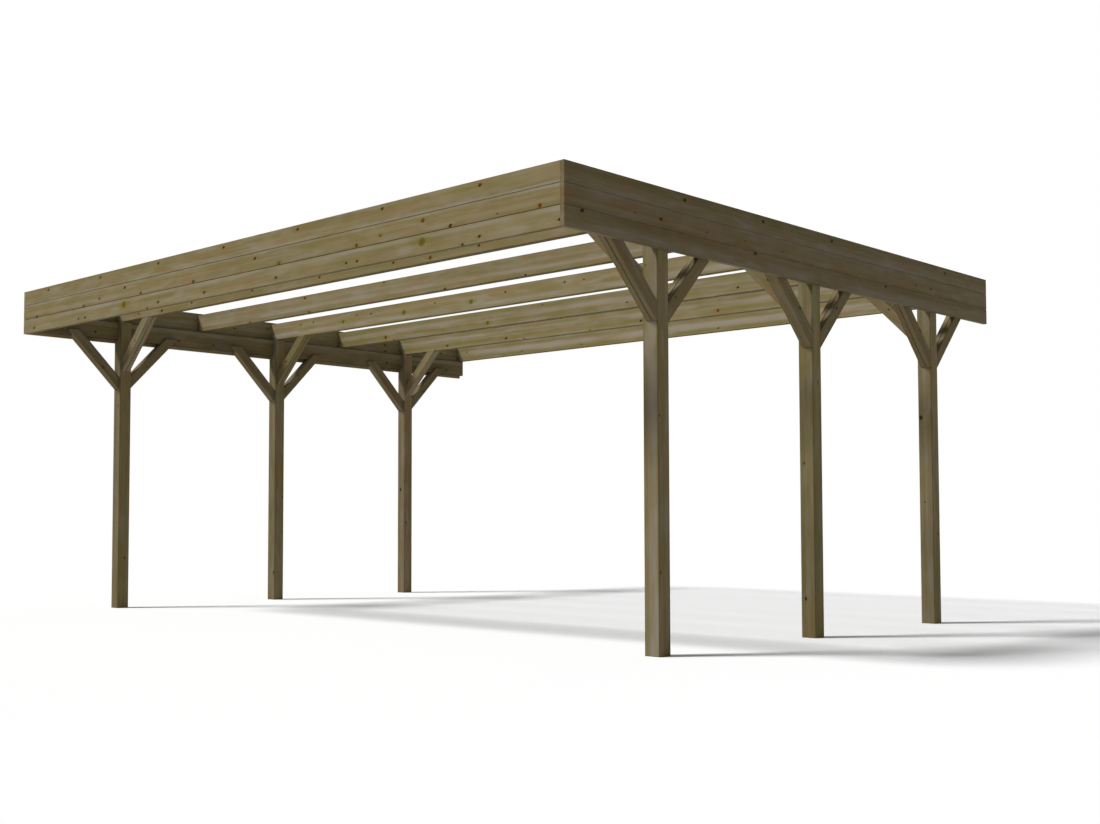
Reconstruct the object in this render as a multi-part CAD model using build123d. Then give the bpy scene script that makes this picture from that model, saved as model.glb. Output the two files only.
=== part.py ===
from build123d import *
import os

# A timber carport: six posts carry two side beams, seven rafters lie across the beams, and a
# fascia of three boards closes the front and both sides. The rear is open under its last rafter.
# Millimetres, +Z up, front toward -Y. The origin is on the ground, under the middle of the roof.

# Overall sizes
width = 5800
depth = 4920
fascia_underside = 2240

# Fascia
fascia_thickness = 28
board_height = 114
board_courses = 3
board_bevel = 4

# Frame timbers: a setback is from the end of the frame to the middle of an end post, or from
# the front of a post to the front of its rafter
post_side = 100
post_edge_radius = 2
post_setback = 830
beam_thickness = 47
beam_height = 150
beam_above_fascia_underside = 24
rafter_thickness = 47
rafter_height = 150
rafter_setback = 12

# Square braces at 45 degrees, cut upright at the post and level at the top
brace_side = 75
brace_rise = 468
brace_lap = 48
relief_groove_width = 5
relief_groove_depth = 18

# Braces fitted with their relief groove upward, where the others have it downward, or the reverse
turned_braces = {
    "right_middle_brace_forward", "left_middle_brace_forward", "left_rear_brace_forward",
    "left_rear_brace_inward",
}

# Angle brackets that hold the rafters to the beams
bracket_leg = 60
bracket_width = 38
bracket_sheet = 2.5

# Places worked out from the sizes
half_width = width / 2
front = -depth / 2
rear = depth / 2
frame_half_width = half_width - fascia_thickness
frame_front = front + fascia_thickness
beam_underside = fascia_underside + beam_above_fascia_underside
beam_top = beam_underside + beam_height
rafter_top = beam_top + rafter_height
beam_inner = frame_half_width - beam_thickness
post_centre = frame_half_width - post_side / 2
post_inner = frame_half_width - post_side
front_post = frame_front + post_setback
rear_post = rear - post_setback
post_places = {"front": front_post, "middle": (front_post + rear_post) / 2, "rear": rear_post}
rafter_to_post = post_side / 2 - rafter_setback - rafter_thickness / 2
rafters_by_posts = [place - rafter_to_post for place in post_places.values()]
rafters_between = [(a + b) / 2 for a, b in zip(rafters_by_posts, rafters_by_posts[1:])]
end_rafters = [frame_front + rafter_thickness / 2, rear - rafter_thickness / 2]
rafter_places = sorted(end_rafters + rafters_by_posts + rafters_between)
sides = {"left": -1, "right": 1}


def block(x_low, x_high, y_low, y_high, z_low, z_high):
    """A box between two corners."""
    size = (x_high - x_low, y_high - y_low, z_high - z_low)
    middle = ((x_low + x_high) / 2, (y_low + y_high) / 2, (z_low + z_high) / 2)
    return Pos(*middle) * Box(*size)


def side_block(side, x_low, x_high, y_low, y_high, z_low, z_high):
    """A box on one side of the carport, with x measured outward from the middle."""
    if side < 0:
        x_low, x_high = -x_high, -x_low
    return block(x_low, x_high, y_low, y_high, z_low, z_high)


def post(side, y_place):
    """A square post, notched on its outer side so that the beam sits on a shoulder."""
    half = post_side / 2
    square = RectangleRounded(post_side, post_side, post_edge_radius)
    blank = Pos(side * post_centre, y_place, 0) * extrude(square, beam_top)
    notch = side_block(
        side, beam_inner, half_width, y_place - half, y_place + half, beam_underside, beam_top
    )
    return blank - notch


def beam(side):
    """A side beam from the back of the front fascia to the rear."""
    return side_block(
        side, beam_inner, frame_half_width, frame_front, rear, beam_underside, beam_top
    )


def rafter(y_place):
    """A rafter across both beams, between the side fascias."""
    half = rafter_thickness / 2
    return block(
        -frame_half_width, frame_half_width, y_place - half, y_place + half, beam_top, rafter_top
    )


def leaning_brace(top, groove_below):
    """A 45 degree brace that leaves a post at x = 0 toward +X, centred on y = 0."""
    foot = top - brace_rise
    upright_cut = brace_side * 2**0.5
    corners = [
        (0, 0, foot),
        (brace_rise, 0, top),
        (brace_rise - upright_cut, 0, top),
        (0, 0, foot + upright_cut),
    ]
    outline = Pos(0, -brace_side / 2, 0) * make_face(Polyline(*corners, close=True))
    bar = extrude(outline, brace_side, dir=(0, 1, 0))
    groove = Box(3 * brace_rise, relief_groove_width, 2 * relief_groove_depth)
    level = foot if groove_below else foot + upright_cut
    return bar - Pos(0, 0, level) * Rot(0, -45, 0) * groove


def brace_along_beam(side, y_place, way, turned):
    """A brace from the post's front or rear face, flush outside and notched for the beam."""
    bar = leaning_brace(beam_underside + brace_lap, groove_below=(way < 0) != turned)
    middle = frame_half_width - brace_side / 2
    start = Pos(side * middle, y_place + way * post_side / 2, 0)
    return start * Rot(0, 0, 90 * way) * bar - beam(side)


def brace_to_rafter(side, y_place, turned):
    """A brace from the post's inner face, flush with its rafter's front and notched for it."""
    bar = leaning_brace(beam_top + brace_lap, groove_below=not turned)
    rafter_front = y_place - rafter_to_post - rafter_thickness / 2
    start = Pos(side * post_inner, rafter_front + brace_side / 2, 0)
    return start * Rot(0, 0, 180 if side > 0 else 0) * bar - rafter(y_place - rafter_to_post)


def board_profile(bevel_top, bevel_bottom):
    """A fascia board's end: back at zero, face at its thickness, with bevels where boards meet."""
    t, h, b = fascia_thickness, board_height, board_bevel
    points = [(0, 0)]
    points += [(t - b, 0), (t, b)] if bevel_bottom else [(t, 0)]
    points += [(t, h - b), (t - b, h)] if bevel_top else [(t, h)]
    points += [(0, h)]
    return points


def fascia_board(place, course):
    """One board of the fascia, course 0 at the bottom."""
    level = fascia_underside + course * board_height
    profile = board_profile(course < board_courses - 1, course > 0)
    if place == "front":
        corners = [(-frame_half_width, frame_front - out, level + up) for out, up in profile]
        face = make_face(Polyline(*corners, close=True))
        return extrude(face, 2 * frame_half_width, dir=(1, 0, 0))
    side = sides[place]
    corners = [(side * (frame_half_width + out), front, level + up) for out, up in profile]
    face = make_face(Polyline(*corners, close=True))
    return extrude(face, depth, dir=(0, 1, 0))


def rafter_brackets(side):
    """An angle bracket at each rafter end, one leg on the beam and one on the rafter."""
    margin = (beam_thickness - bracket_width) / 2
    inner = beam_inner + margin
    outer = inner + bracket_width
    brackets = []
    for number, y_place in enumerate(rafter_places):
        way = 1 if number == 0 else -1
        face = y_place + way * rafter_thickness / 2
        tip = face + way * bracket_leg
        sheet = face + way * bracket_sheet
        flat = side_block(
            side, inner, outer, min(face, tip), max(face, tip), beam_top, beam_top + bracket_sheet
        )
        upright = side_block(
            side, inner, outer, min(face, sheet), max(face, sheet), beam_top, beam_top + bracket_leg
        )
        brackets.append(flat + upright)
    return Compound(brackets)


nodes = {}
for side_name, side in sides.items():
    nodes[f"{side_name}_beam"] = beam(side)
    nodes[f"{side_name}_rafter_brackets"] = rafter_brackets(side)
    for place, y_place in post_places.items():
        corner = f"{side_name}_{place}"
        nodes[f"{corner}_post"] = post(side, y_place)
        for way_name, way in (("forward", -1), ("backward", 1)):
            name = f"{corner}_brace_{way_name}"
            nodes[name] = brace_along_beam(side, y_place, way, name in turned_braces)
        name = f"{corner}_brace_inward"
        nodes[name] = brace_to_rafter(side, y_place, name in turned_braces)
for number, y_place in enumerate(rafter_places):
    nodes[f"rafter_{number + 1}"] = rafter(y_place)
for place in ("front", "left", "right"):
    for course, level_name in enumerate(("bottom", "middle", "top")):
        nodes[f"{place}_fascia_{level_name}_board"] = fascia_board(place, course)

os.makedirs("parts", exist_ok=True)
for name, shape in nodes.items():
    export_step(shape, f"parts/{name}.step")
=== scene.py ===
import math
import random

import bpy
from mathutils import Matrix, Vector


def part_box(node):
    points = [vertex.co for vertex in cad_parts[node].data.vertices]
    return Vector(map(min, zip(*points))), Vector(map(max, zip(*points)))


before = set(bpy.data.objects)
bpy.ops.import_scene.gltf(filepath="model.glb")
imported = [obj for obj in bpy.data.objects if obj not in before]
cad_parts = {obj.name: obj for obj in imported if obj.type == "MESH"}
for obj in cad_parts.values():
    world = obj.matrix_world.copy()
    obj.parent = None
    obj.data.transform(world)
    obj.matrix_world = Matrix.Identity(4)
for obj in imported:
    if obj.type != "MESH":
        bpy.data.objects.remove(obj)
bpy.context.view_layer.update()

# An open timber carport in pressure-treated softwood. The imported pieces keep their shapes; this
# script eases the timbers' arrises, gives each timber its own grain, bands of colour and knots,
# gives the angle brackets a dull galvanized finish, and sets up a pale floor, soft daylight and
# the camera. Metres, +Z up.


# ---------------------------------------------------------------- colours and shader helpers

def paint(red, green, blue):
    """A colour written as 0 to 255 screen values, as the linear colour that a shader takes."""
    def linear(value):
        share = value / 255
        return share / 12.92 if share <= 0.04045 else ((share + 0.055) / 1.055) ** 2.4
    return (linear(red), linear(green), linear(blue), 1.0)


class Graph:
    """Short calls that add shader nodes to one node tree."""

    def __init__(self, tree):
        self.tree = tree

    def add(self, kind, **settings):
        node = self.tree.nodes.new(kind)
        for name, value in settings.items():
            setattr(node, name, value)
        return node

    def feed(self, socket, value):
        """Gives a socket a link or a fixed value."""
        if isinstance(value, bpy.types.NodeSocket):
            self.tree.links.new(value, socket)
        else:
            socket.default_value = value

    def math(self, operation, *values):
        node = self.add("ShaderNodeMath", operation=operation)
        for socket, value in zip(node.inputs, values):
            self.feed(socket, value)
        return node.outputs[0]

    def vector(self, operation, *values):
        node = self.add("ShaderNodeVectorMath", operation=operation)
        for socket, value in zip(node.inputs, values):
            self.feed(socket, value)
        return node.outputs["Value" if operation in ("DOT_PRODUCT", "LENGTH") else "Vector"]

    def parts(self, vector):
        node = self.add("ShaderNodeSeparateXYZ")
        self.feed(node.inputs[0], vector)
        return node.outputs[0], node.outputs[1], node.outputs[2]

    def joined(self, x, y, z):
        node = self.add("ShaderNodeCombineXYZ")
        for socket, value in zip(node.inputs, (x, y, z)):
            self.feed(socket, value)
        return node.outputs[0]

    def noise(self, vector, stretch, detail=2.0, rough=0.5):
        """Noise from 0 to 1 with its own count of waves per metre along each axis."""
        node = self.add("ShaderNodeTexNoise")
        self.feed(node.inputs["Vector"], self.vector("MULTIPLY", vector, stretch))
        node.inputs["Scale"].default_value = 1.0
        node.inputs["Detail"].default_value = detail
        node.inputs["Roughness"].default_value = rough
        return node.outputs[0]

    def wander(self, vector, stretch, reach):
        """Noise about zero, over the given reach."""
        return self.math("MULTIPLY", self.math("SUBTRACT", self.noise(vector, stretch), 0.5), reach)

    def between(self, value, low, high, to_low=0.0, to_high=1.0):
        """A smooth step: to_low at low, to_high at high."""
        node = self.add("ShaderNodeMapRange", interpolation_type="SMOOTHSTEP")
        for socket, number in zip(node.inputs, (value, low, high, to_low, to_high)):
            self.feed(socket, number)
        return node.outputs[0]

    def to_nearest_side(self, offset, size):
        """How far an offset lies from the nearer of zero and a size."""
        from_far_side = self.math("ABSOLUTE", self.math("SUBTRACT", size, offset))
        return self.math("MINIMUM", self.math("ABSOLUTE", offset), from_far_side)

    def mix(self, factor, first, second, blend_type="MIX"):
        node = self.add("ShaderNodeMix", data_type="RGBA", blend_type=blend_type)
        self.feed(node.inputs[0], factor)
        self.feed(node.inputs[6], first)
        self.feed(node.inputs[7], second)
        return node.outputs[2]

    def channels(self, colour):
        node = self.add("ShaderNodeSeparateColor")
        self.feed(node.inputs[0], colour)
        return node.outputs[0], node.outputs[1], node.outputs[2]

    def ramp(self, factor, stops, interpolation):
        """A colour ramp; places come before colours, because a new place can reorder the stops."""
        node = self.add("ShaderNodeValToRGB")
        self.feed(node.inputs[0], factor)
        line = node.color_ramp
        line.interpolation = interpolation
        for place, _ in stops[2:]:
            line.elements.new(place)
        for element, (place, _) in zip(line.elements, stops):
            element.position = place
        for element, (_, colour) in zip(line.elements, stops):
            element.color = colour
        return node.outputs["Color"], node.outputs["Alpha"]

    def group(self, tree, **values):
        """A node group; an underscore in a keyword stands for a space in the socket's name."""
        node = self.add("ShaderNodeGroup", node_tree=tree)
        for name, value in values.items():
            self.feed(node.inputs[name.replace("_", " ")], value)
        return node.outputs


def new_group(name, inputs, outputs):
    """An empty node group with the named sockets, and the Graph that fills it."""
    tree = bpy.data.node_groups.new(name, "ShaderNodeTree")
    for socket, kind in inputs.items():
        tree.interface.new_socket(socket, in_out="INPUT", socket_type="NodeSocket" + kind)
    for socket, kind in outputs.items():
        tree.interface.new_socket(socket, in_out="OUTPUT", socket_type="NodeSocket" + kind)
    graph = Graph(tree)
    return tree, graph, graph.add("NodeGroupInput").outputs, graph.add("NodeGroupOutput").inputs


def new_material(name):
    """A material with an empty node tree, and the Graph that fills it."""
    material = bpy.data.materials.new(name)
    material.use_nodes = True
    material.node_tree.nodes.clear()
    return material, Graph(material.node_tree)


# ---------------------------------------------------------------- timber

PALE = paint(148, 136, 104)
BASE = paint(130, 118, 82)
DEEP = paint(106, 94, 56)
LATE = paint(92, 80, 45)
LILAC = paint(152, 142, 128)
OLIVE = paint(112, 105, 50)
RUSSET = paint(136, 107, 68)
DUSK = paint(78, 66, 42)
# The next colour darkens the edges: grime, and painted shade in seams and joints
GRIME_AND_SHADE_COLOUR = paint(44, 34, 16)
KNOT_BROWN = paint(60, 45, 8)
KNOT_ORANGE = paint(112, 72, 8)
KNOT_OLIVE = paint(98, 87, 14)
KNOT_HEART = paint(36, 27, 5)
KNOT_RIM = paint(120, 100, 52)

BROWN, ORANGE, GREEN = 0.0, 0.5, 1.0    # a knot's tone
KNOT_SCALE = 0.06                       # a knot ramp's alpha of 1 is this radius
KNOT_LEAN = 0.35                        # from the grain to a knot's long way, in radians
KNOT_PULL = 1.1                         # how far rings bend round a knot, in its radii
HALO_STRETCH = 3.6                      # how much longer than wide a knot's halo is
SMALLEST_RADIUS = 0.0001

RING_SPACING = 0.0048
RING_TREMOR = 0.004                     # how far the rings waver
PITH_STRAY = 0.06                       # how far the pith strays from the timber's line
PITH_ACROSS = (0.15, 0.85)              # where it may lie, as shares of the width
PITH_OUTSIDE = (0.02, 0.07)             # how far outside the timber's first face it may lie
BAND_DRIFT = 0.26                       # how far bands wander slowly, as a share of the width
BAND_WAVER = 0.07                       # and how far quickly
GRIME_AND_SHADE_REACH = (0.0015, 0.0065)           # from an edge, where the grime and painted shade start to fade and end
PAINTED_LIGHT_EDGE = (0.0004, 0.0016)          # the same for the painted light and shade of the edge faces
SHEEN = 0.08                            # the shader's specular level
GRAIN_STRENGTH = 0.35
GRAIN_DEPTH = 0.0006
SOFTNESS_SAMPLES = 6

# What the four kinds of band add: a colour, the waves per metre of the band's swelling, and how
# that noise's low and high levels become its least and greatest strength. The last, dark kind is
# painted shade along the left beam's top.
BAND_KINDS = (
    (LILAC, (1.4, 5.0, 5.0), (0.34, 0.62, 0.12, 0.85)),
    (OLIVE, (2.0, 4.0, 4.0), (0.35, 0.62, 0.2, 1.0)),
    (RUSSET, (1.7, 5.0, 5.0), (0.4, 0.62, 0.1, 1.0)),
    (DUSK, (2.6, 6.0, 6.0), (0.38, 0.6, 0.3, 1.0)),
)


def place_group():
    """Where a point lies in its own timber: metres along, across and through the piece."""
    tree, g, given, out = new_group(
        "timber_place",
        {"Start": "Vector", "Along": "Vector", "Across": "Vector", "Through": "Vector",
         "Length": "Float", "Width": "Float", "Seed": "Float"},
        {"Place": "Vector", "Along Share": "Float", "Band Share": "Float"},
    )
    point = g.vector("SUBTRACT", g.add("ShaderNodeTexCoord").outputs["Object"], given["Start"])
    along = g.vector("DOT_PRODUCT", point, given["Along"])
    across = g.vector("DOT_PRODUCT", point, given["Across"])
    through = g.vector("DOT_PRODUCT", point, given["Through"])
    place = g.joined(along, across, through)
    seeded = g.vector("ADD", place, g.joined(given["Seed"], given["Seed"], 0.0))
    drift = g.wander(seeded, (0.9, 2.0, 2.0), BAND_DRIFT)
    waver = g.wander(seeded, (4.5, 6.0, 6.0), BAND_WAVER)
    across_share = g.math("DIVIDE", across, given["Width"])
    g.feed(out["Place"], place)
    g.feed(out["Along Share"], g.math("DIVIDE", along, given["Length"]))
    g.feed(out["Band Share"], g.math("ADD", across_share, g.math("ADD", drift, waver)))
    return tree


def knot_group():
    """How far a point lies from the nearest knot, as the knot's core, its halo and its pull."""
    tree, g, given, out = new_group(
        "timber_knot",
        {"Place": "Vector", "Length": "Float", "Width": "Float", "Seed": "Float",
         "Knot": "Color", "Size": "Float"},
        {"Core": "Float", "Heart": "Float", "Halo": "Float", "Pull": "Float", "Tone": "Float"},
    )
    along, across, _ = g.parts(given["Place"])
    along_share, across_share, tone = g.channels(given["Knot"])
    ahead = g.math("SUBTRACT", along, g.math("MULTIPLY", along_share, given["Length"]))
    aside = g.math("SUBTRACT", across, g.math("MULTIPLY", across_share, given["Width"]))
    radius = g.math("MULTIPLY", given["Size"], KNOT_SCALE)
    radius = g.math("MAXIMUM", radius, SMALLEST_RADIUS)

    # A brown knot is longer than an orange or green one
    cosine, sine = math.cos(KNOT_LEAN), math.sin(KNOT_LEAN)
    long_way = g.math("SUBTRACT", g.math("MULTIPLY", ahead, cosine), g.math("MULTIPLY", aside, sine))
    short_way = g.math("ADD", g.math("MULTIPLY", ahead, sine), g.math("MULTIPLY", aside, cosine))
    stretch = g.between(tone, 0.0, 0.4, 1.22, 1.08)
    long_way = g.math("DIVIDE", long_way, stretch)
    short_way = g.math("MULTIPLY", short_way, stretch)
    reach = g.vector("LENGTH", g.joined(long_way, short_way, 0.0))
    ragged = g.vector("ADD", given["Place"], g.joined(given["Seed"], 0.0, 0.0))
    rag = g.wander(ragged, (70.0, 90.0, 90.0), 0.5)
    ratio = g.math("ADD", g.math("DIVIDE", reach, radius), rag)
    g.feed(out["Core"], g.between(ratio, 0.85, 1.35, 1.0, 0.0))
    g.feed(out["Heart"], g.between(ratio, 0.35, 0.85, 1.0, 0.0))

    halo_reach = g.vector("LENGTH", g.joined(g.math("DIVIDE", ahead, HALO_STRETCH), aside, 0.0))
    halo_ratio = g.math("DIVIDE", halo_reach, radius)
    g.feed(out["Halo"], g.between(halo_ratio, 0.5, 1.4, 1.0, 0.0))
    bulge = g.math("MULTIPLY", g.between(halo_ratio, 0.0, 3.2, 1.0, 0.0), radius)
    g.feed(out["Pull"], g.math("MULTIPLY", bulge, KNOT_PULL))
    g.feed(out["Tone"], tone)
    return tree


def look_group():
    """The colour, roughness and relief of treated softwood at a place in its own timber, with painted
    light and shade at its edges.
    """
    tree, g, given, out = new_group(
        "timber_look",
        {"Place": "Vector", "Seed": "Float", "Pith": "Vector", "Bands": "Color",
         "Dark": "Float", "Core": "Float", "Heart": "Float", "Halo": "Float", "Pull": "Float",
         "Tone": "Float", "Shade": "Color", "Edge Shade": "Color", "Width": "Float",
         "Depth": "Float", "Grime": "Float"},
        {"Color": "Color", "Roughness": "Float", "Height": "Float"},
    )
    seed = given["Seed"]
    place = g.vector("ADD", given["Place"], g.joined(seed, g.math("MULTIPLY", seed, 1.7), 0.0))

    # Growth rings round a pith that strays a little, bent by the nearest knot
    _, aside, behind = g.parts(g.vector("SUBTRACT", given["Place"], given["Pith"]))
    stray = g.wander(place, (0.7, 2.0, 2.0), PITH_STRAY)
    tremor = g.wander(place, (7.0, 25.0, 25.0), RING_TREMOR)
    from_pith = g.vector("LENGTH", g.joined(0.0, g.math("ADD", aside, stray), behind))
    radius = g.math("ADD", g.math("ADD", from_pith, tremor), given["Pull"])
    late = g.math("POWER", g.math("FRACT", g.math("DIVIDE", radius, RING_SPACING)), 3.0)

    # Streaks, threads, fibres and blotches
    streak = g.noise(place, (0.6, 38.0, 38.0), 3.0, 0.55)
    thread = g.noise(place, (2.4, 150.0, 150.0), 2.0)
    fibre = g.noise(place, (14.0, 1100.0, 1100.0), 1.0)
    cloud = g.noise(place, (2.6, 17.0, 17.0), 2.0)
    patch = g.noise(place, (3.4, 21.0, 21.0), 1.0)
    haze = g.noise(place, (5.0, 9.0, 9.0), 2.0)
    colour = g.mix(g.between(streak, 0.34, 0.68), DEEP, PALE)
    colour = g.mix(0.55, colour, BASE)
    colour = g.mix(g.between(haze, 0.42, 0.62, 0.0, 0.32), colour, PALE)
    colour = g.mix(g.between(thread, 0.55, 0.8, 0.0, 0.40), colour, DEEP)
    colour = g.mix(g.between(cloud, 0.50, 0.74, 0.0, 0.62), colour, OLIVE)
    colour = g.mix(g.between(patch, 0.54, 0.72, 0.0, 0.62), colour, RUSSET)
    colour = g.mix(g.between(patch, 0.46, 0.30, 0.0, 0.40), colour, LILAC)

    # The timber's bands, some of them painted shade, then its late wood and fibres over them
    strengths = (*g.channels(given["Bands"]), given["Dark"])
    for strength, (tint, waves, levels) in zip(strengths, BAND_KINDS):
        swell = g.between(g.noise(place, waves), *levels)
        colour = g.mix(g.math("MULTIPLY", strength, swell), colour, tint)
    colour = g.mix(g.math("MULTIPLY", late, 0.20), colour, LATE)
    colour = g.mix(g.between(fibre, 0.35, 0.75, 0.0, 0.16), colour, DEEP)

    # The knot, whose dark heart is weak in a green one
    tone = given["Tone"]
    warm = g.mix(g.between(tone, BROWN, ORANGE), KNOT_BROWN, KNOT_ORANGE)
    bark = g.mix(g.between(tone, ORANGE, GREEN), warm, KNOT_OLIVE)
    rim = g.mix(g.between(tone, BROWN, GREEN), KNOT_RIM, OLIVE)
    heart = g.math("MULTIPLY", given["Heart"], g.between(tone, 0.3, GREEN, 0.8, 0.3))
    colour = g.mix(g.math("MULTIPLY", given["Halo"], 0.55), colour, rim)
    colour = g.mix(g.math("MULTIPLY", given["Core"], 0.97), colour, bark)
    colour = g.mix(heart, colour, KNOT_HEART)

    # Broken dark lines along the edges, which are grime and painted shade in the seams and joints,
    # and the faces' tints, with painted light and shade on the edge faces
    _, over, beyond = g.parts(given["Place"])
    aside_edge = g.to_nearest_side(over, given["Width"])
    behind_edge = g.to_nearest_side(beyond, given["Depth"])
    from_edge = g.math("MAXIMUM", aside_edge, behind_edge)
    # Painted shade and grime: a broken dark line near the edges
    broken = g.between(g.noise(place, (9.0, 30.0, 30.0)), 0.3, 0.6, 0.35, 1.0)
    near_edge = g.between(from_edge, *GRIME_AND_SHADE_REACH, 1.0, 0.0)
    grime_and_shade = g.math("MULTIPLY", g.math("MULTIPLY", near_edge, given["Grime"]), broken)
    colour = g.mix(grime_and_shade, colour, GRIME_AND_SHADE_COLOUR)
    # Painted light and shade: the edge faces take a tint of their own, lighter or darker than the
    # faces.
    on_edge = g.between(aside_edge, *PAINTED_LIGHT_EDGE, 1.0, 0.0)
    shade = g.mix(on_edge, given["Shade"], given["Edge Shade"])
    g.feed(out["Color"], g.mix(1.0, colour, shade, blend_type="MULTIPLY"))

    g.feed(out["Roughness"], g.math("ADD", g.math("MULTIPLY", streak, 0.18), 0.66))
    relief = g.math("ADD", g.math("MULTIPLY", late, 0.5), g.math("MULTIPLY", fibre, 0.5))
    g.feed(out["Height"], g.math("SUBTRACT", relief, g.math("MULTIPLY", given["Core"], 0.4)))
    return tree


place_tree, knot_tree, look_tree = place_group(), knot_group(), look_group()


def knot_stops(knots, length, width):
    """Ramp stops that hand each stretch of a timber its nearest knot: place, tone and size."""
    knots = sorted(knots) or [(length / 2, width / 2, 0.0, BROWN)]
    stops, begin = [], 0.0
    for knot, follower in zip(knots, knots[1:] + [None]):
        along, across, radius, tone = knot
        share = (along / length, across / width, tone, radius / KNOT_SCALE)
        stops.append((begin / length, share))
        if follower:
            begin = (along + follower[0]) / 2
    if len(stops) == 1:
        stops.append((1.0, stops[0][1]))
    return stops


def timber(name, axes, sizes, knots, side_knots, bands, tones_and_painted_light, grime_and_shade, soft, seed):
    """A material for one timber, which knows where that timber starts and which way it runs."""
    start, along, across, through = axes
    length, width, depth = sizes
    material, g = new_material("timber_" + name)
    draw = random.Random(seed)
    pith = (0.0, width * draw.uniform(*PITH_ACROSS), -draw.uniform(*PITH_OUTSIDE))
    place = g.group(place_tree, Start=start, Along=along, Across=across, Through=through,
                    Length=length, Width=width, Seed=float(seed))

    def nearest_knot(listed, point, across_size):
        stops = knot_stops(listed, length, across_size)
        centre, size = g.ramp(place["Along Share"], stops, "CONSTANT")
        return g.group(knot_tree, Place=point, Length=length, Width=across_size,
                       Seed=float(seed), Knot=centre, Size=size)

    knot = nearest_knot(knots, place["Place"], width)
    felt = {socket: knot[socket] for socket in ("Core", "Heart", "Halo", "Pull", "Tone")}
    if side_knots:
        lengthwise, sideways, inward = g.parts(place["Place"])
        other = nearest_knot(side_knots, g.joined(lengthwise, inward, sideways), depth)
        felt = {socket: g.math("MAXIMUM", felt[socket], other[socket]) for socket in felt}
    tints, dark = g.ramp(place["Band Share"], bands, "EASE")
    look = g.group(look_tree, Place=place["Place"], Seed=float(seed), Pith=pith, Bands=tints,
                   Dark=dark, Shade=tones_and_painted_light[0], Edge_Shade=tones_and_painted_light[1], Width=width, Depth=depth,
                   Grime=grime_and_shade, **felt)

    shader = g.add("ShaderNodeBsdfPrincipled")
    shader.inputs["Specular IOR Level"].default_value = SHEEN
    g.feed(shader.inputs["Base Color"], look["Color"])
    g.feed(shader.inputs["Roughness"], look["Roughness"])
    bump = g.add("ShaderNodeBump")
    bump.inputs["Strength"].default_value = GRAIN_STRENGTH
    bump.inputs["Distance"].default_value = GRAIN_DEPTH
    g.feed(bump.inputs["Height"], look["Height"])
    if soft:
        rounded = g.add("ShaderNodeBevel", samples=SOFTNESS_SAMPLES)
        rounded.inputs["Radius"].default_value = soft
        g.feed(bump.inputs["Normal"], rounded.outputs[0])
    g.feed(shader.inputs["Normal"], bump.outputs[0])
    g.feed(g.add("ShaderNodeOutputMaterial").inputs[0], shader.outputs[0])
    return material


# ---------------------------------------------------------------- what each timber looks like

MM = 0.001                 # a millimetre in metres
KINDS = ("brace", "post", "beam", "rafter", "fascia")

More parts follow.
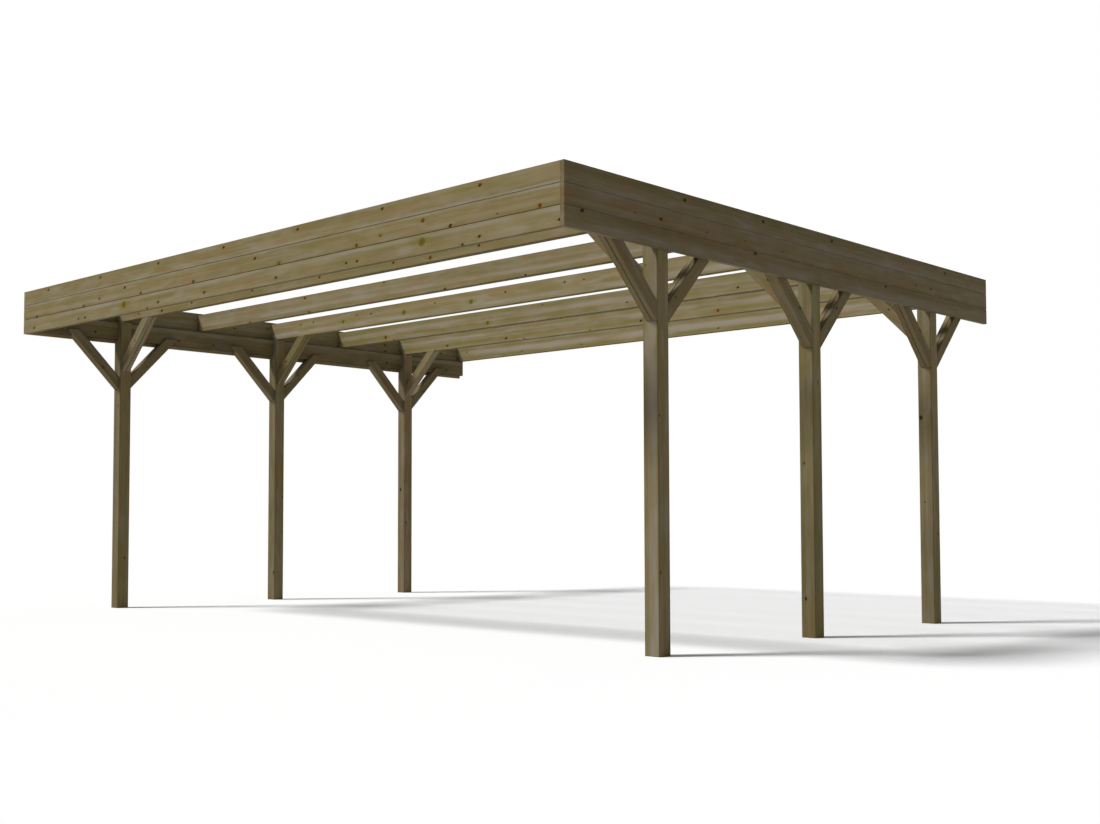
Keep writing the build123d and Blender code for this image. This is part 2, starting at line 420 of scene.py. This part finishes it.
# Knots are (mm along, mm across, radius in mm, tone). Along is from the left or front end, or
# from a post's foot; across is from the top edge, or from a post's left side.
REPEAT = 799
KNOTS = {
    "front_fascia_top_board": [(375 + REPEAT * n, 29, 10, BROWN) for n in range(7)],
    "front_fascia_middle_board": [
        (190, 108, 12, BROWN), (935, 103, 10, BROWN), (1165, 74, 9, BROWN), (1525, 34, 11, BROWN),
        (1745, 99, 10, BROWN), (2415, 99, 11, BROWN), (3125, 37, 11, BROWN), (3380, 103, 16, GREEN),
        (4140, 98, 13, ORANGE), (4355, 70, 11, GREEN), (4717, 38, 14, ORANGE),
        (4940, 101, 11, BROWN), (5300, 92, 5, BROWN), (5605, 98, 13, ORANGE)],
    "front_fascia_bottom_board": [
        (150, 80, 11, BROWN), (855, 79, 10, BROWN), (955, 80, 10, BROWN), (1515, 44, 24, GREEN),
        (1835, 106, 8, BROWN), (1975, 77, 10, BROWN), (2550, 75, 11, BROWN), (3350, 77, 10, BROWN),
        (4045, 75, 9, BROWN), (4145, 77, 9, BROWN), (4710, 44, 24, GREEN), (5035, 106, 8, BROWN),
        (5165, 80, 9, BROWN), (5740, 77, 9, BROWN)],
    "right_fascia_top_board": [
        (1030, 38, 12, BROWN), (1830, 34, 12, BROWN), (2630, 36, 12, BROWN), (4230, 38, 12, BROWN)],
    "right_fascia_middle_board": [
        (580, 66, 5, BROWN), (810, 67, 11, BROWN), (1245, 76, 5, BROWN), (1635, 68, 5, BROWN),
        (2040, 74, 6, BROWN), (3775, 66, 7, BROWN), (4005, 66, 9, BROWN)],
    "right_fascia_bottom_board": [
        (140, 14, 12, BROWN), (1740, 13, 12, BROWN), (3340, 17, 12, BROWN)],
    "rafter_2": [
        (355, 108, 8, BROWN), (710, 122, 12, BROWN), (1145, 105, 9, BROWN), (1955, 104, 9, BROWN),
        (2760, 105, 9, BROWN), (3545, 105, 9, BROWN), (3905, 121, 14, ORANGE), (4350, 105, 9, BROWN),
        (5150, 105, 9, BROWN)],
    "rafter_3": [
        (530, 15, 6, BROWN), (800, 142, 8, BROWN), (1555, 21, 13, ORANGE), (1610, 141, 9, BROWN),
        (2530, 12, 7, BROWN), (3200, 142, 9, BROWN), (4000, 142, 8, BROWN), (4800, 142, 8, BROWN)],
    "rafter_4": [
        (455, 45, 7, BROWN), (640, 42, 8, BROWN), (1060, 80, 16, GREEN), (1250, 42, 7, BROWN),
        (1440, 50, 8, BROWN), (1860, 84, 20, GREEN), (2240, 47, 6, BROWN), (2660, 84, 18, GREEN),
        (3040, 50, 8, BROWN), (3650, 46, 8, BROWN), (3840, 50, 6, BROWN), (4900, 60, 8, BROWN)],
    "rafter_5": [
        (710, 108, 17, ORANGE), (830, 144, 7, BROWN), (2055, 108, 17, GREEN), (2700, 20, 6, BROWN),
        (3600, 100, 7, BROWN), (4640, 108, 9, BROWN), (5200, 40, 9, BROWN)],
    "rafter_6": [
        (540, 140, 6, BROWN), (710, 115, 12, BROWN), (1510, 115, 12, BROWN), (1740, 140, 6, BROWN),
        (2540, 140, 6, BROWN), (3110, 115, 12, BROWN), (3905, 112, 14, ORANGE),
        (4560, 118, 10, BROWN), (5300, 60, 9, BROWN)],
    "rafter_7": [
        (150, 60, 7, BROWN), (950, 118, 7, BROWN), (1740, 119, 6, BROWN), (3340, 118, 8, BROWN),
        (4100, 40, 8, BROWN), (5000, 90, 10, BROWN)],
    "left_beam": [
        (570, 100, 10, BROWN), (1380, 104, 10, BROWN), (1740, 111, 9, BROWN), (2600, 60, 7, BROWN),
        (3814, 98, 11, BROWN), (4200, 108, 8, BROWN), (4650, 100, 10, BROWN)],
    "right_middle_post": [(245, 32, 9, BROWN), (1105, 30, 8, ORANGE)],
    "right_rear_post": [(870, 40, 5, BROWN), (1480, 18, 13, BROWN)],
    "left_rear_post": [(1040, 42, 13, BROWN)],
    "left_middle_post": [(250, 88, 10, BROWN)],
    "left_front_post": [(1700, 70, 6, BROWN)],
    "right_front_post": [(2160, 20, 4, BROWN)],
    "right_front_brace_forward": [],
}

# The same for a post's left and right sides, where across is from the post's front.
SIDE_KNOTS = {
    "left_rear_post": [(705, 22, 9, BROWN)],
    "left_middle_post": [(945, 88, 8, BROWN)],
    "right_front_post": [(460, 16, 6, BROWN), (1320, 14, 6, BROWN)],
    "left_front_post": [(420, 60, 7, BROWN)],
    "right_middle_post": [(1620, 60, 7, BROWN)],
    "right_rear_post": [(640, 70, 8, BROWN)],
}

# Bands are (share of the width, lilac, olive, russet), across from the top edge, from a post's
# left side or from a brace's underside. A fifth number is how dark the band is; the dark line
# along the left beam's top is painted shade under the fascia.
BANDS = {
    "front_fascia_top_board": [
        (0.0, 0.0, 0.1, 0.1), (0.5, 0.0, 0.2, 0.2), (0.78, 0.1, 0.1, 0.0), (0.97, 0.75, 0.0, 0.0)],
    "front_fascia_middle_board": [
        (0.0, 0.85, 0.0, 0.0), (0.09, 0.6, 0.0, 0.0), (0.2, 0.0, 0.45, 0.0), (0.42, 0.0, 0.1, 0.3),
        (0.8, 0.15, 0.1, 0.2), (1.0, 0.0, 0.2, 0.2)],
    "front_fascia_bottom_board": [
        (0.0, 0.6, 0.0, 0.0), (0.15, 0.8, 0.0, 0.0), (0.33, 0.1, 0.4, 0.0), (0.5, 0.0, 0.2, 0.1),
        (0.8, 0.25, 0.1, 0.1), (1.0, 0.1, 0.2, 0.1)],
    "right_fascia_top_board": [
        (0.0, 0.0, 0.25, 0.2, 0.3), (0.4, 0.0, 0.25, 0.1, 0.15), (0.72, 0.2, 0.0, 0.1),
        (0.92, 0.5, 0.0, 0.0)],
    "right_fascia_middle_board": [
        (0.0, 0.25, 0.0, 0.1), (0.3, 0.1, 0.0, 0.3), (0.7, 0.0, 0.05, 0.35),
        (1.0, 0.0, 0.1, 0.5, 0.15)],
    "right_fascia_bottom_board": [
        (0.0, 0.0, 0.2, 0.4, 0.2), (0.25, 0.0, 0.3, 0.4, 0.25), (0.5, 0.1, 0.0, 0.3),
        (0.75, 0.55, 0.0, 0.0), (0.95, 0.5, 0.0, 0.0), (1.0, 0.2, 0.1, 0.1, 0.2)],
    "left_beam": [
        (0.0, 0.0, 0.0, 0.1, 0.9), (0.05, 0.3, 0.0, 0.0, 0.1), (0.22, 0.4, 0.1, 0.0),
        (0.42, 0.0, 0.2, 0.2, 0.4), (0.8, 0.0, 0.2, 0.2, 0.55), (1.0, 0.0, 0.1, 0.2, 0.4)],
    "right_front_post": [
        (0.0, 0.0, 0.4, 0.2, 0.25), (0.2, 0.1, 0.3, 0.1), (0.45, 0.9, 0.1, 0.0),
        (0.75, 0.8, 0.0, 0.0), (1.0, 0.1, 0.2, 0.2)],
    "left_front_brace_inward": [
        (0.0, 0.35, 0.1, 0.0), (0.5, 0.3, 0.1, 0.0), (1.0, 0.35, 0.1, 0.0)],
    "left_middle_brace_inward": [
        (0.0, 0.1, 0.3, 0.1), (0.5, 0.1, 0.3, 0.1, 0.1), (1.0, 0.1, 0.25, 0.1)],
    "left_rear_brace_inward": [
        (0.0, 0.5, 0.0, 0.15), (0.5, 0.35, 0.0, 0.2), (1.0, 0.45, 0.05, 0.1)],
    "rafter_2": [
        (0.0, 0.0, 0.2, 0.1), (0.5, 0.4, 0.0, 0.0), (0.75, 0.0, 0.5, 0.1), (1.0, 0.0, 0.5, 0.3)],
    "rafter_3": [
        (0.0, 0.0, 0.4, 0.2), (0.3, 0.35, 0.1, 0.0), (0.5, 0.1, 0.2, 0.0), (0.7, 0.85, 0.0, 0.0),
        (0.85, 0.0, 0.4, 0.4), (1.0, 0.0, 0.6, 0.2)],
    "rafter_4": [
        (0.0, 0.0, 0.3, 0.3), (0.3, 0.1, 0.1, 0.1), (0.55, 0.0, 0.4, 0.0), (0.8, 0.8, 0.0, 0.0),
        (1.0, 0.1, 0.5, 0.1)],
    "rafter_5": [
        (0.0, 0.2, 0.4, 0.0), (0.15, 0.0, 0.6, 0.1), (0.45, 0.9, 0.0, 0.0), (0.6, 0.4, 0.1, 0.0),
        (0.73, 0.0, 0.75, 0.0), (0.95, 0.2, 0.2, 0.1)],
    "rafter_6": [
        (0.0, 0.3, 0.2, 0.0), (0.18, 0.0, 0.5, 0.0), (0.38, 0.9, 0.0, 0.0), (0.52, 0.3, 0.1, 0.0),
        (0.7, 0.0, 0.8, 0.1), (0.92, 0.2, 0.3, 0.1)],
    "rafter_7": [
        (0.0, 0.7, 0.0, 0.0), (0.22, 0.0, 0.7, 0.0), (0.45, 0.9, 0.0, 0.0), (0.62, 0.7, 0.0, 0.0),
        (0.85, 0.0, 0.8, 0.1), (1.0, 0.1, 0.4, 0.2)],
}
PLAIN_BANDS = [
    (0.0, 0.1, 0.2, 0.1), (0.35, 0.35, 0.0, 0.0), (0.6, 0.0, 0.35, 0.15), (0.9, 0.25, 0.1, 0.1)]
KIND_BANDS = {
    "post": [(0.0, 0.2, 0.0, 0.0), (0.3, 0.05, 0.3, 0.05), (0.6, 0.3, 0.0, 0.1), (1.0, 0.1, 0.2, 0.0)],
    "brace": [(0.0, 0.1, 0.15, 0.1), (0.5, 0.05, 0.25, 0.1), (1.0, 0.15, 0.15, 0.05)],
}

# How strong the broken dark lines along the edges are: grime, and painted shade in the seams and
# joints. Here and in the table of tints below, a timber follows the longest key that its name
# contains.
EDGE_GRIME_AND_SHADE = {
    "brace": 0.4,
    "post": 0.3,
    "beam": 0.7,
    "rafter": 0.5,
    "front_fascia": 0.3,
    "front_fascia_top_board": 0.1,
    "left_fascia": 0.15,
    "right_fascia": 0.08,
}

# The tint over a timber's broad faces, its own tone with painted shade that lowers it most on the
# right fascia, the posts and the braces; and how much lighter or darker its edge faces are, which is
# painted light and shade: lighter post sides, brace undersides and a light seam below the front
# fascia's top board, darker rafter and beam undersides and fascia seams.
TONES_AND_PAINTED_LIGHT = {
    "front_fascia": ((0.88, 0.88, 0.88), 0.7),
    "front_fascia_top_board": ((0.88, 0.88, 0.88), 1.25),
    "left_fascia": ((0.95, 0.95, 0.96), 0.85),
    "right_fascia": ((0.70, 0.69, 0.75), 1.05),
    "rafter": ((0.96, 0.96, 1.01), 0.52),
    "beam": ((0.80, 0.80, 0.83), 0.6),
    "brace": ((0.72, 0.69, 0.70), 1.12),
    "left_front_brace_inward": ((0.76, 0.75, 0.73), 1.1),
    "left_middle_brace_inward": ((0.74, 0.71, 0.66), 1.1),
    "left_rear_brace_inward": ((0.80, 0.77, 0.74), 1.1),
    "left_front_post": ((0.64, 0.62, 0.60), 1.42),
    "left_middle_post": ((0.70, 0.69, 0.70), 1.36),
    "left_rear_post": ((0.71, 0.67, 0.70), 1.40),
    "right_front_post": ((0.84, 0.84, 0.89), 1.06),
    "right_middle_post": ((0.71, 0.71, 0.68), 1.28),
    "right_rear_post": ((0.72, 0.71, 0.74), 1.28),
}
PAINTED_SHADE_TINT = (1.0, 0.95, 0.78)      # an edge face with painted shade is also browner
TONE_SEED = 500                         # added to a timber's seed to draw its own lightness
TONE_RANGE = (0.96, 1.04)

# Where random knots lie, in mm along and as a share of the width, and their radius in mm.
FIRST_KNOT = (150, 500)
KNOT_GAP = (320, 900)
BARE_END = 60
KNOT_ACROSS = (0.12, 0.9)
KNOT_RADIUS = (5, 11)

# An arris's real width, and how far from it a post's or brace's shading starts to turn.
ARRIS_WIDTH = 0.0012
ARRIS_SEGMENTS = 2
ARRIS_LEAST_ANGLE = math.radians(60)
SOFT_ARRIS = {"post": 0.010, "brace": 0.005}
JOIN_WITHIN = 0.00005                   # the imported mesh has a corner's points once for each face


def random_knots(seed, length, width):
    """Knots for a timber whose face isn't described: a few small ones at uneven distances."""
    draw = random.Random(seed)
    knots, along = [], draw.uniform(*FIRST_KNOT)
    while along < length / MM - BARE_END:
        tone = draw.choice((BROWN, BROWN, BROWN, ORANGE, GREEN))
        across = draw.uniform(*KNOT_ACROSS) * width / MM
        knots.append((along, across, draw.uniform(*KNOT_RADIUS), tone))
        along += draw.uniform(*KNOT_GAP)
    return knots


def axes_of(name, at_right):
    """The ways a timber runs along, across and through."""
    right, back, up = Vector((1, 0, 0)), Vector((0, 1, 0)), Vector((0, 0, 1))
    inward = -right if at_right else right
    if "brace" in name:
        way = {"forward": -back, "backward": back, "inward": inward}[name.rsplit("_", 1)[1]]
        through = back if name.endswith("inward") else inward
        return (way + up).normalized(), (up - way).normalized(), through
    if name.endswith("post"):
        return up, right, back
    if name.startswith(("rafter", "front_fascia")):
        return right, -up, back
    return back, -up, inward


def lie_of(piece, axes):
    """The corner where a timber starts and its three sizes, along its own ways."""
    points = [vertex.co for vertex in piece.data.vertices]
    lows = [min(point.dot(axis) for point in points) for axis in axes]
    highs = [max(point.dot(axis) for point in points) for axis in axes]
    start = sum((axis * low for axis, low in zip(axes, lows)), Vector())
    return start, [high - low for low, high in zip(lows, highs)]


def closest(table, name):
    """What a table holds for the longest of its keys that a node's name contains."""
    return table[max((key for key in table if key in name), key=len)]


def in_metres(knots):
    return [(along * MM, across * MM, radius * MM, tone) for along, across, radius, tone in knots]


def as_stops(bands):
    """Ramp stops from bands; a band that leaves out how dark it is isn't dark."""
    stops = []
    for share, lilac, olive, russet, *dark in bands:
        stops.append((share, (lilac, olive, russet, dark[0] if dark else 0.0)))
    return stops


def knots_of(name, kind, seed, sizes):
    """A timber's knots: those listed for it, or random ones, with at most one on a brace."""
    if name in KNOTS:
        return in_metres(KNOTS[name])
    drawn = in_metres(random_knots(seed, sizes[0], sizes[1]))
    return drawn[:1] if kind == "brace" else drawn


def tones_and_painted_light_of(name, seed):
    """The tints of a timber's faces and of its edge faces, which carry painted light and shade."""
    face, edge = closest(TONES_AND_PAINTED_LIGHT, name)
    tone = random.Random(seed + TONE_SEED).uniform(*TONE_RANGE)
    painted_edge_tint = PAINTED_SHADE_TINT if edge < 1.0 else (1.0, 1.0, 1.0)
    on_face = [value * tone for value in face]
    on_edge = [value * edge * share for value, share in zip(on_face, painted_edge_tint)]
    return (*on_face, 1.0), (*on_edge, 1.0)


def ease_arrises(piece):
    joined = piece.modifiers.new("joined_corners", "WELD")
    joined.merge_threshold = JOIN_WITHIN
    ease = piece.modifiers.new("eased_arrises", "BEVEL")
    ease.width = ARRIS_WIDTH
    ease.segments = ARRIS_SEGMENTS
    ease.limit_method = "ANGLE"
    ease.angle_limit = ARRIS_LEAST_ANGLE
    ease.use_clamp_overlap = True


def dress_timbers():
    """Gives every packed timber eased arrises and its own material."""
    for seed, name in enumerate(sorted(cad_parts)):
        if name.endswith("brackets"):
            continue
        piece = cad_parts[name]
        kind = next(word for word in KINDS if word in name)
        axes = axes_of(name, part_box(name)[0].x > 0)
        start, sizes = lie_of(piece, axes)
        material = timber(
            name, (start, *axes), sizes, knots_of(name, kind, seed, sizes),
            in_metres(SIDE_KNOTS.get(name, ())),
            as_stops(BANDS.get(name) or KIND_BANDS.get(kind, PLAIN_BANDS)),
            tones_and_painted_light_of(name, seed), closest(EDGE_GRIME_AND_SHADE, name), SOFT_ARRIS.get(kind, 0.0), seed)
        piece.data.materials.clear()
        piece.data.materials.append(material)
        ease_arrises(piece)


# ---------------------------------------------------------------- brackets

SHEET_LIGHT = paint(112, 107, 92)
SHEET_DARK = paint(96, 92, 78)
SHEET_DULL = paint(84, 79, 66)
SPANGLES_PER_METRE = 160.0
SHEET_METALLIC = 0.1


def galvanized():
    """Galvanized sheet with faint spangles, dulled in patches."""
    material, g = new_material("galvanized_sheet")
    place = g.add("ShaderNodeTexCoord").outputs["Object"]
    spangle = g.add("ShaderNodeTexVoronoi")
    g.feed(spangle.inputs["Vector"], place)
    spangle.inputs["Scale"].default_value = SPANGLES_PER_METRE
    dull = g.noise(place, (30.0, 30.0, 30.0), 3.0)
    colour = g.mix(g.between(spangle.outputs["Distance"], 0.1, 0.7), SHEET_LIGHT, SHEET_DARK)
    colour = g.mix(g.between(dull, 0.5, 0.75, 0.0, 0.5), colour, SHEET_DULL)
    shader = g.add("ShaderNodeBsdfPrincipled")
    shader.inputs["Metallic"].default_value = SHEET_METALLIC
    g.feed(shader.inputs["Base Color"], colour)
    g.feed(shader.inputs["Roughness"], g.between(dull, 0.2, 0.8, 0.38, 0.6))
    g.feed(g.add("ShaderNodeOutputMaterial").inputs[0], shader.outputs[0])
    return material


def dress_brackets():
    steel = galvanized()
    for side in ("left", "right"):
        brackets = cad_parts[side + "_rafter_brackets"]
        brackets.data.materials.clear()
        brackets.data.materials.append(steel)


# ---------------------------------------------------------------- floor, light and camera

FLOOR_SIDE = 120.0
FLOOR_SHOWN = 0.95         # how pale the camera sees the floor
BOUNCE = 0.68              # how pale it is for the light that it throws back at the carport
SKY = 0.195

CAMERA_PLACE = (7.356, -7.574, 0.762)
CAMERA_PITCH = 2.81        # degrees above level
CAMERA_TURN = 44.635       # degrees to the left of straight back
CAMERA_LENS = 44.07        # focal length in mm, for a sensor this wide
CAMERA_SENSOR = 36.0
CAMERA_SHIFT = (0.0626, 0.0354)
CAMERA_FAR = 200.0


def camera_or_gloss(g):
    """1 for what the camera or a reflection sees directly, 0 for the light that falls on things."""
    path = g.add("ShaderNodeLightPath").outputs
    seen = g.math("MAXIMUM", path["Is Camera Ray"], path["Is Glossy Ray"])
    return g.math("MAXIMUM", seen, path["Is Transmission Ray"])


def floor():
    mesh = bpy.data.meshes.new("floor")
    half = FLOOR_SIDE / 2
    corners = [(-half, -half, 0), (half, -half, 0), (half, half, 0), (-half, half, 0)]
    mesh.from_pydata(corners, [], [(0, 1, 2, 3)])
    plane = bpy.data.objects.new("floor", mesh)
    bpy.context.scene.collection.objects.link(plane)
    material, g = new_material("pale_floor")
    shown = g.add("ShaderNodeBsdfDiffuse")
    shown.inputs["Color"].default_value = (FLOOR_SHOWN, FLOOR_SHOWN, FLOOR_SHOWN, 1.0)
    bounced = g.add("ShaderNodeBsdfDiffuse")
    bounced.inputs["Color"].default_value = (BOUNCE, BOUNCE, BOUNCE, 1.0)
    choice = g.add("ShaderNodeMixShader")
    g.feed(choice.inputs[0], camera_or_gloss(g))
    g.feed(choice.inputs[1], bounced.outputs[0])
    g.feed(choice.inputs[2], shown.outputs[0])
    g.feed(g.add("ShaderNodeOutputMaterial").inputs[0], choice.outputs[0])
    mesh.materials.append(material)


def sky():
    """White where the camera sees it, and dimmer as a light."""
    world = bpy.data.worlds.new("sky")
    bpy.context.scene.world = world
    world.use_nodes = True
    world.node_tree.nodes.clear()
    g = Graph(world.node_tree)
    background = g.add("ShaderNodeBackground")
    background.inputs["Color"].default_value = (1.0, 1.0, 1.0, 1.0)
    g.feed(background.inputs["Strength"], g.between(camera_or_gloss(g), 0.0, 1.0, SKY, 1.0))
    g.feed(g.add("ShaderNodeOutputWorld").inputs[0], background.outputs[0])


def sun(name, travels, strength, spread):
    """A distant lamp whose light travels along the given direction, spread over some degrees."""
    lamp = bpy.data.lights.new(name, "SUN")
    lamp.energy = strength
    lamp.angle = math.radians(spread)
    holder = bpy.data.objects.new(name, lamp)
    holder.rotation_euler = Vector(travels).to_track_quat("-Z", "Y").to_euler()
    bpy.context.scene.collection.objects.link(holder)


def camera():
    """Stands off the front right corner, at less than half the height of the roof."""
    lens = bpy.data.cameras.new("camera")
    lens.lens = CAMERA_LENS
    lens.sensor_width = CAMERA_SENSOR
    lens.shift_x, lens.shift_y = CAMERA_SHIFT
    lens.clip_end = CAMERA_FAR
    holder = bpy.data.objects.new("camera", lens)
    holder.location = CAMERA_PLACE
    holder.rotation_euler = (math.radians(90 + CAMERA_PITCH), 0.0, math.radians(CAMERA_TURN))
    bpy.context.scene.collection.objects.link(holder)
    bpy.context.scene.camera = holder


dress_timbers()
dress_brackets()
floor()
sky()
sun("daylight", travels=(0.56, 0.74, -1.0), strength=3.6, spread=12.5)
sun("rear_fill", travels=(0.1, -1.0, 0.0), strength=0.7, spread=50.0)
camera()
bpy.context.scene.view_settings.view_transform = "Standard"
